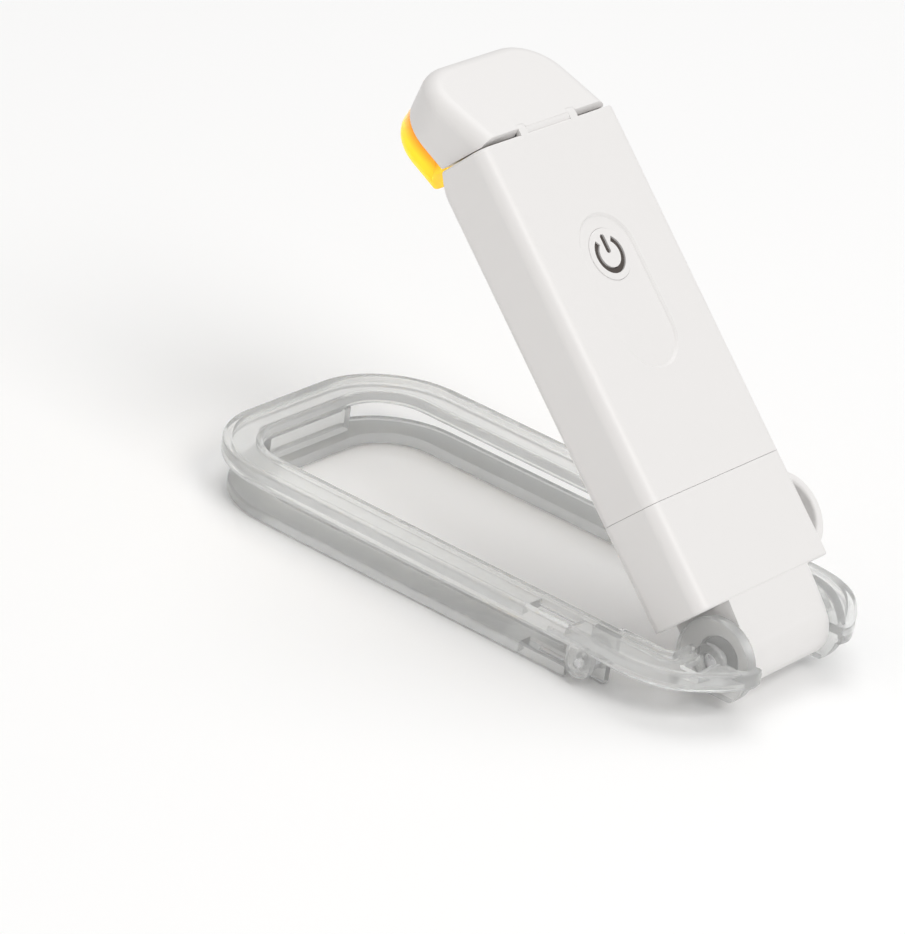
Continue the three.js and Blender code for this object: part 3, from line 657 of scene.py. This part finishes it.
def make_front_shell():
    cavity_half = BODY_WIDTH / 2 - WALL
    cavity = block((-cavity_half, cavity_half), (BODY_FRONT + WALL, BODY_BACK + 3),
                   (CASING_BOTTOM + WALL, CASING_TOP - TOP_CHAMFER[1] + 0.6))
    spigot = prism(lambda inset: body_outline(SPIGOT_INSET + inset), "z",
                   CASING_BOTTOM - SPIGOT_DEPTH, CASING_BOTTOM + 0.5, (0.25, 0))
    plug_hole = prism(
        rounded_rect(PLUG_WIDTH + 2 * GAP, PLUG_HEIGHT + 2 * GAP, 0.6, 0, PLUG_Y), "z",
        CASING_BOTTOM - SPIGOT_DEPTH - 1, CASING_BOTTOM + WALL + 1)
    button_hole = disc(BUTTON_RADIUS + HAIRLINE, "y", BODY_FRONT - 1, BODY_FRONT + WALL + 1, 0, 0, BUTTON_Z)
    shell = join(cut(casing_blank(), behind_split(0)), spigot)
    shell = cut(shell, cavity, plug_hole, make_recess(), button_hole)
    shell = join(shell, *both_sides(make_hinge_ear()))
    half = KNUCKLE_HALF + HAIRLINE / 2
    return cut(shell, disc(KNUCKLE_RADIUS + HAIRLINE / 2, "x", -half, half, 0, HINGE_Y, HINGE_Z))


def make_recess():
    """The pill-shaped hollow round the button, with a wall that slopes in to its floor."""
    height = RECESS_TOP - RECESS_BOTTOM
    middle = RECESS_BOTTOM + height / 2
    slope = 0.45

    def pill(grow):
        radius = RECESS_RADIUS - 0.2 + grow
        return rounded_rect(2 * radius, height - 0.4 + 2 * grow, radius - 0.01, 0, middle, 20)

    levels = [(slope + 0.6, -0.6), (slope, 0.0), (0.25, 0.16), (0.08, 0.3), (0.0, RECESS_DEPTH)]
    return skin([[(u, BODY_FRONT + depth, v) for u, v in pill(grow)] for grow, depth in levels])


def make_hinge_ear():
    """One of the two ears that hold the head's hinge pin."""
    inner = KNUCKLE_HALF + HAIRLINE / 2
    ear = disc(KNUCKLE_RADIUS, "x", inner, EAR_HALF, 0, HINGE_Y, HINGE_Z)
    foot = block((inner, EAR_HALF), (BODY_FRONT, HINGE_Y), (CASING_TOP - 3, HINGE_Z))
    pin_hole = disc(HINGE_PIN_RADIUS + 0.2, "x", inner - 1, EAR_HALF + 1, 0, HINGE_Y, HINGE_Z)
    return cut(join(ear, foot), pin_hole)


def make_rear_cover():
    front = block((-BODY_WIDTH, BODY_WIDTH), (BODY_FRONT - 5, SPLIT_Y + HAIRLINE), (0, 2 * CASING_TOP))
    return cut(casing_blank(), front)


# ---------------------------------------------------------------- power button


def symbol_strokes(start, end, margin, edge=0.0):
    """The open ring and the upright bar of a power symbol."""
    half = SYMBOL_STROKE / 2 + margin
    opening = SYMBOL_OPENING / (math.pi / 2)

    def ring(inset):
        reach = half - inset
        first, last = 1 + opening, 5 - opening
        centre = (0, BUTTON_Z)
        return (arc(centre, SYMBOL_RADIUS + reach, first, last, 48)
                + arc(centre, SYMBOL_RADIUS - reach, last, first, 48))

    def upright(inset):
        width = 2 * (half - inset)
        return rounded_rect(width, SYMBOL_BAR + 2 * (margin - inset), width / 2 - 0.005,
                            0, BUTTON_Z + SYMBOL_BAR_RISE, 6)

    return [prism(shape, "y", start, end, (edge, 0), 3) for shape in (ring, upright)]


def make_button():
    flange_front = BODY_FRONT + WALL + GAP
    flange_back = flange_front + 0.65

    def face(inset):
        return circle(BUTTON_RADIUS - inset, 0, BUTTON_Z, 96)

    cap = prism(face, "y", BUTTON_FACE, flange_back, (0.15, 0))
    flange = disc(BUTTON_RADIUS + 0.9, "y", flange_front, flange_back, 0.1, 0, BUTTON_Z)
    pocket = disc(SYMBOL_RADIUS + 1.2, "y", BUTTON_FACE + 0.6, flange_back + 1, 0, 0, BUTTON_Z)
    return cut(join(cap, flange), pocket, *symbol_strokes(BUTTON_FACE - 1, flange_back, 0.06))


def make_symbol():
    disc_front = BUTTON_FACE + 0.75
    back = disc(SYMBOL_RADIUS + 0.9, "y", disc_front, disc_front + 0.8, 0.1, 0, BUTTON_Z)
    switch_front = -2.25
    stem = disc(1.1, "y", disc_front + 0.5, switch_front - 0.55, 0.1, 0, BUTTON_Z)
    return join(back, stem, *symbol_strokes(BUTTON_FACE + 0.3, disc_front + 0.4, 0, 0.08))


# ---------------------------------------------------------------- head


def below_head(offset=0.0):
    """Everything below the head's sloping underside, raised by an offset."""
    low = HEAD_BOTTOM + offset
    reach = 20
    high = low + reach * math.tan(HEAD_BEVEL)
    return prism([(-5, -9), (reach, -9), (reach, high), (0.1, low), (-5, low)], "x", -30, 30)


def behind_cover():
    """Everything behind the joint between the head's cover and its lens."""
    def joint(z):
        return HEAD_BACK - z * math.tan(LIGHT_LEAN)
    return prism([(joint(-9), -9), (30, -9), (30, 25), (joint(25), 25)], "x", -30, 30)


def make_head_cover():
    front = -KNUCKLE_RADIUS
    blank = prism(lambda inset: head_outline(inset, HEAD_ROUNDING), "y",
                  front, HEAD_BACK + HEAD_ROUNDING, (HEAD_ROUNDING, 0), 16)
    knuckle = disc(KNUCKLE_RADIUS, "x", -KNUCKLE_HALF, KNUCKLE_HALF)
    root = block((-KNUCKLE_HALF, KNUCKLE_HALF), (front + 0.01, 0), (0, 2 * HEAD_ROUNDING))
    ear_seat = disc(KNUCKLE_RADIUS + HAIRLINE / 2, "x", KNUCKLE_HALF, EAR_HALF + HAIRLINE / 2)
    ear_foot_room = block((KNUCKLE_HALF, EAR_HALF + HAIRLINE / 2), (-5, 0), (-5, 0))
    hinge_root = block((-HEAD_HALF, HEAD_HALF), (-5, 1.9), (-5, 3.8))
    cavity = cut(prism(head_outline(WALL), "y", 0.2, HEAD_BACK + 1), hinge_root, below_head(1.3 * WALL))
    pin_hole = disc(HINGE_PIN_RADIUS + 0.2, "x", -KNUCKLE_HALF - 1, KNUCKLE_HALF + 1)
    cover = join(cut(blank, behind_cover(), below_head()), knuckle, root)
    return cut(cover, *both_sides(ear_seat), *both_sides(ear_foot_room), cavity, pin_hole)


def lens_outline(inset):
    return head_outline(inset, 0, LENS_TOP)


def make_lens():
    foot = LENS_FOOT + WALL
    slope = (LENS_FOOT - LENS_TOE) / LENS_DEPTH
    below = prism([
        (0, -5), (20, -5), (20, LENS_FOOT - slope * (20 - LENS_BACK)), (LENS_BACK, LENS_FOOT), (0, LENS_FOOT),
    ], "x", -30, 30)
    dome = prism(lambda inset: lens_outline(0.3 + inset), "y", LENS_BACK - 2 * HAIRLINE,
                 LENS_BACK + LENS_DEPTH, (0.2, LENS_ROUNDING), 12)
    skirt = cut(prism(lens_outline(WALL + GAP), "y", LENS_BACK - 0.8, LENS_BACK + 0.5),
                block((-30, 30), (0, 20), (-20, foot)))
    cavity = cut(prism(lambda inset: lens_outline(WALL + GAP + LENS_WALL + inset), "y", LENS_BACK - 3,
                       LENS_BACK + LENS_DEPTH - LENS_WALL, (0, 1.0), 6),
                 block((-30, 30), (0, 20), (-20, foot + LENS_WALL)))
    return cut(join(cut(dome, below), skirt), cavity)


# ---------------------------------------------------------------- clip


def rim_path():
    """Middle of the ribbon that runs round the whole clip, from one ear to the other."""
    middle = RIM_WIDTH / 2
    inner = BARREL_HALF + GAP
    edge = [(x - middle, y + middle * 0.5 if y < 5 else y) for x, y in YOKE_EDGE]
    right = smooth_line([*edge, (inner + 0.1, CLIP_BOTTOM + middle + 0.2)])
    corner = CLIP_CORNER - middle
    tip = arc((CLIP_HALF - CLIP_CORNER, CLIP_TIP - CLIP_CORNER), corner, 0, 1, 2 * ARC_STEPS)
    half = [*[tuple(point) for point in reversed(right)], *tip]
    return [*half, *[(-x, y) for x, y in reversed(half)]]


def inner_bead_path():
    """Middle of the bead round the upper jaw's opening."""
    half = CLIP_HALF - STRIP_WIDTH + 0.6
    corner = CLIP_CORNER - STRIP_WIDTH + 0.6
    tip = CLIP_TIP - TIP_STRIP + 0.6
    right = [(half, SPRING_Y - 4), (half, 60), *arc((half - corner, tip - corner), corner, 0, 1, 16)]
    return [*right, *[(-x, y) for x, y in reversed(right)]]


def make_clip_frame():
    web = prism(tongue_outline(CLIP_HALF - 0.6, 12, CLIP_TIP - 0.6, CLIP_CORNER - 0.6), "z",
                -WEB_HALF, WEB_HALF)
    opening = prism(
        tongue_outline(CLIP_HALF - STRIP_WIDTH, 5, CLIP_TIP - TIP_STRIP, CLIP_CORNER - STRIP_WIDTH),
        "z", -5, 5)
    window = block((CLIP_HALF - STRIP_WIDTH + RIM_WIDTH, CLIP_HALF - RIM_WIDTH),
                   (SPRING_Y + SPRING_KNUCKLE + 1.5, WEB_START), (-5, 5))
    web = cut(web, opening, *both_sides(window))
    ribbon = bar(rim_path(), RIM_WIDTH, RIM_HALF, 0.45)
    bead = bar(inner_bead_path(), 1.2, 1.15, 0.4)
    parts = [ribbon, bead]
    for part in (make_yoke_web, make_pivot_ear, make_clip_knuckles):
        parts += both_sides(part())
    return cut(join(web, *parts), disc(AXLE_RADIUS + GAP, "x", -20, 20))


def make_yoke_web():
    """The thin web inside the yoke's right half, with the shoulder that runs along it."""
    inner = CLIP_HALF - STRIP_WIDTH
    edge = smooth_line([(x - 0.9, y) for x, y in YOKE_EDGE[1:]] + [(BARREL_HALF + GAP, CLIP_BOTTOM + 0.9)])
    outline = [
        (BARREL_HALF + GAP, 4.6), (BODY_WIDTH / 2 + 0.6, 4.6), (inner, 6.4), (inner, 14.0),
        *[tuple(point) for point in edge],
    ]
    web = prism(outline, "z", -WEB_HALF, WEB_HALF)
    shoulder = bar([(BARREL_HALF + 1, 4.0), (BODY_WIDTH / 2 + 0.4, 4.0), (inner + 0.4, 5.9),
                    (inner + 0.4, 14.5)], 1.1, RIM_HALF, 0.35)
    return join(web, shoulder)


def make_pivot_ear():
    """The disc that the barrel's axle turns in, with its raised boss."""
    inner = BARREL_HALF + GAP
    outer = inner + PIVOT_EAR_THICKNESS
    ear = disc(PIVOT_EAR_RADIUS, "x", inner, outer, 0.5)
    below = block((0, 40), (-20, 20), (-20, PIVOT_EAR_BOTTOM))
    boss = disc(BOSS_RADIUS, "x", inner + 1, outer + 1, 0.3)
    return join(cut(ear, below), boss)


def make_knuckle(span, low, high):
    barrel = disc(SPRING_KNUCKLE, "x", *span, 0.2, SPRING_Y, SPRING_Z)
    web = soft_block(span, (SPRING_Y - SPRING_KNUCKLE, SPRING_Y + SPRING_KNUCKLE), (low, high), 0.2)
    hole = disc(SPRING_PIN_RADIUS + 0.1, "x", span[0] - 1, span[1] + 1, 0, SPRING_Y, SPRING_Z)
    return cut(join(barrel, web), hole)


def make_clip_knuckles():
    return join(make_knuckle(INNER_KNUCKLE, SPRING_Z, WEB_HALF),
                make_knuckle(OUTER_KNUCKLE, SPRING_Z, WEB_HALF))


def make_lower_jaw():
    start = SPRING_Y + SPRING_KNUCKLE + GAP
    corner = CLIP_CORNER - 1

    def outline(inset):
        return tongue_outline(JAW_HALF - inset, start + inset, JAW_TIP - inset, corner - inset)

    plate = prism(outline, "z", JAW_BOTTOM, JAW_TOP, (0.45, 0.45), 4)
    opening = prism(
        tongue_outline(CLIP_HALF - STRIP_WIDTH, 10, JAW_TIP - TIP_STRIP, corner - 6), "z", -10, 0)
    leg_notch = block((COIL_SPAN[0] - 0.5, COIL_SPAN[1] + 0.5), (start - 1, 30), (JAW_BOTTOM - 1, JAW_TOP + 1))
    lip = soft_block((-11, 11), (JAW_TIP - 4.6, JAW_TIP - 1.6), (JAW_BOTTOM + 0.5, -WEB_HALF - GAP), 0.5)
    arm = join(
        make_knuckle(JAW_KNUCKLE, JAW_BOTTOM, SPRING_Z),
        block(JAW_KNUCKLE, (SPRING_Y + 1, start + 1), (JAW_BOTTOM, JAW_TOP)),
    )
    return join(cut(plate, opening, *both_sides(leg_notch)), lip, *both_sides(arm))


def make_spring():
    """A torsion spring: three and a half turns round the pin, with one leg on each jaw."""
    start, end = COIL_SPAN
    turns = 3.5
    per_turn = 24
    count = int(turns * per_turn)
    path = [(start, SPRING_Y + reach, SPRING_Z + COIL_RADIUS) for reach in (9, 7, 5, 3, 1.5)]
    for step in range(count + 1):
        angle = math.pi / 2 + 2 * math.pi * step / per_turn
        path.append((start + (end - start) * step / count,
                     SPRING_Y + COIL_RADIUS * math.cos(angle), SPRING_Z + COIL_RADIUS * math.sin(angle)))
    path += [(end, SPRING_Y + reach, SPRING_Z - COIL_RADIUS) for reach in (1.5, 3, 5, 7, 9)]
    return tube(path, WIRE_RADIUS)


# ---------------------------------------------------------------- building

MADE_HERE = [
    # name, maker, place, body, slot, CAD node, bevel
    ("cap_shell_fine", make_cap, BODY, "cap", "white_gloss", "cap_shell", 0.05),
    ("front_shell_fine", make_front_shell, BODY, "casing", "white_gloss", "front_shell", 0.05),
    ("rear_cover_fine", make_rear_cover, BODY, "casing", "white_gloss", "rear_cover", 0.12),
    ("power_button_fine", make_button, BODY, "button", "white_gloss", "power_button", 0.0),
    ("power_symbol_fine", make_symbol, BODY, "button", "symbol_grey", "power_symbol", 0.0),
    ("head_cover_fine", make_head_cover, HEAD, "head", "white_gloss", "head_cover", 0.05),
    ("lens_fine", make_lens, LIGHT, "head", "amber_lens", "lens", 0.0),
    ("clip_frame_fine", make_clip_frame, CLIP, "clip", "clear_plastic", "clip_frame", 0.0),
    ("lower_jaw_fine", make_lower_jaw, CLIP, "lower_jaw", "clear_plastic", "lower_jaw", 0.0),
]

for name, maker, place, body, slot_name, node, bevel in MADE_HERE:
    finish_piece(maker(), name, place, body, MATERIALS[slot_name], [node], bevel)

right_spring = make_spring()
left_spring = mirrored(right_spring)
finish_piece(right_spring, "spring_right_fine", CLIP, "clip", MATERIALS["steel"], ["torsion_spring_right"])
finish_piece(left_spring, "spring_left_fine", CLIP, "clip", MATERIALS["steel"], ["torsion_spring_left"])

# The CAD's own small pieces keep their shape and get their real finish.
slots = {part["node"]: part["material_slot"] for part in frame["record"]["subparts"]}
for node, obj in frame["nodes"].items():
    obj.data.materials.clear()
    obj.data.materials.append(MATERIALS[slots[node]])

# ---------------------------------------------------------------- floor and lights


def make_floor():
    """A wide pale sheet that the lamp stands on."""
    size = 3.0
    bm = bmesh.new()
    bmesh.ops.create_grid(bm, x_segments=2, y_segments=2, size=size)
    floor = to_object(bm, "floor")
    floor.location.z = -0.0002
    material = bpy.data.materials.new("floor_paper")
    material.use_nodes = True
    shader = material.node_tree.nodes["Principled BSDF"]
    shader.inputs["Base Color"].default_value = (0.96, 0.96, 0.96, 1)
    shader.inputs["Roughness"].default_value = 0.8
    shader.inputs["Specular IOR Level"].default_value = 0.2
    floor.data.materials.append(material)


def add_area_light(name, position, size, power, color=(1, 1, 1)):
    """A soft square light that faces the lamp."""
    light = bpy.data.lights.new(name, "AREA")
    light.shape = "SQUARE"
    light.size = size
    light.energy = power
    light.color = color
    obj = bpy.data.objects.new(name, light)
    bpy.context.scene.collection.objects.link(obj)
    obj.location = position
    obj.rotation_euler = (pivot - Vector(position)).to_track_quat("-Z", "Y").to_euler()


def light_world(strength):
    world = bpy.data.worlds.new("studio")
    world.use_nodes = True
    background = world.node_tree.nodes["Background"]
    background.inputs["Color"].default_value = (1, 1, 1, 1)
    background.inputs["Strength"].default_value = strength
    bpy.context.scene.world = world


make_floor()
light_world(0.5)
add_area_light("key_light", (-0.2, -1.0, 1.1), 0.7, 8.5, (1.0, 0.99, 0.975))
add_area_light("top_light", (0.5, 0.3, 1.4), 1.0, 7)
add_area_light("left_fill", (-1.2, 0.3, 0.5), 0.8, 1.5, (1.0, 0.93, 0.85))

# ---------------------------------------------------------------- camera

CAMERA_OFFSET = Vector((-0.63399, -0.38939, 0.38126))
CAMERA_FORWARD = Vector((0.73052, 0.52590, -0.43563))
CAMERA_ROLL = math.radians(8.8)
SENSOR_WIDTH = 36.0
FOCAL_LENGTH = 202.1


def add_camera():
    """A long lens from the front left, a little above the lamp, rolled to the right."""
    data = bpy.data.cameras.new("camera")
    data.sensor_fit = "HORIZONTAL"
    data.sensor_width = SENSOR_WIDTH
    data.lens = FOCAL_LENGTH
    data.clip_start = 0.01
    camera = bpy.data.objects.new("camera", data)
    bpy.context.scene.collection.objects.link(camera)
    level = CAMERA_FORWARD.to_track_quat("-Z", "Y").to_matrix().to_4x4()
    camera.matrix_world = (
        Matrix.Translation(pivot + CAMERA_OFFSET) @ level @ Matrix.Rotation(CAMERA_ROLL, 4, "Z"))
    bpy.context.scene.camera = camera


add_camera()
bpy.context.scene.view_settings.view_transform = "Standard"
